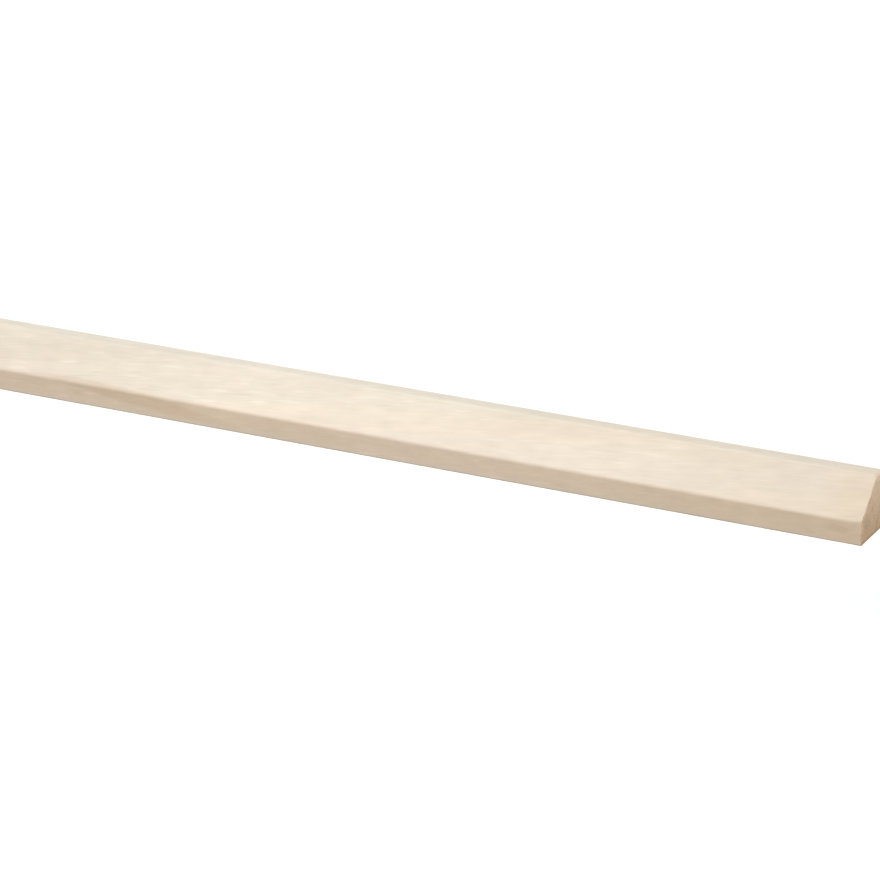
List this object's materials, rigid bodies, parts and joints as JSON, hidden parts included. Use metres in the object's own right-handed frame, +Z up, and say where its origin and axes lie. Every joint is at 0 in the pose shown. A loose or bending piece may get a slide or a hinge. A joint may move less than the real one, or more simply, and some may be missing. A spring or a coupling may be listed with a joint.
{
  "type": "bevelled quarter round moulding",
  "caption": "Straight pale wood trim strip: low upright toe, flat 45 degree bevel in place of the round, narrow level top, upright back, flat base and square-cut ends.",
  "frame": {"origin": "middle of the base, halfway along the length and across the depth", "axes": "+X along the length, +Y from the toe to the upright back, +Z up from the base to the top"},
  "size_m": [2.4, 0.016, 0.018],
  "materials": {
    "pale_wood": "planed and lightly sanded pale hardwood, bare, with fine straight grain"
  },
  "bodies": {
    "root": {"quarter_round": "pale_wood"}
  },
  "joints": []
}
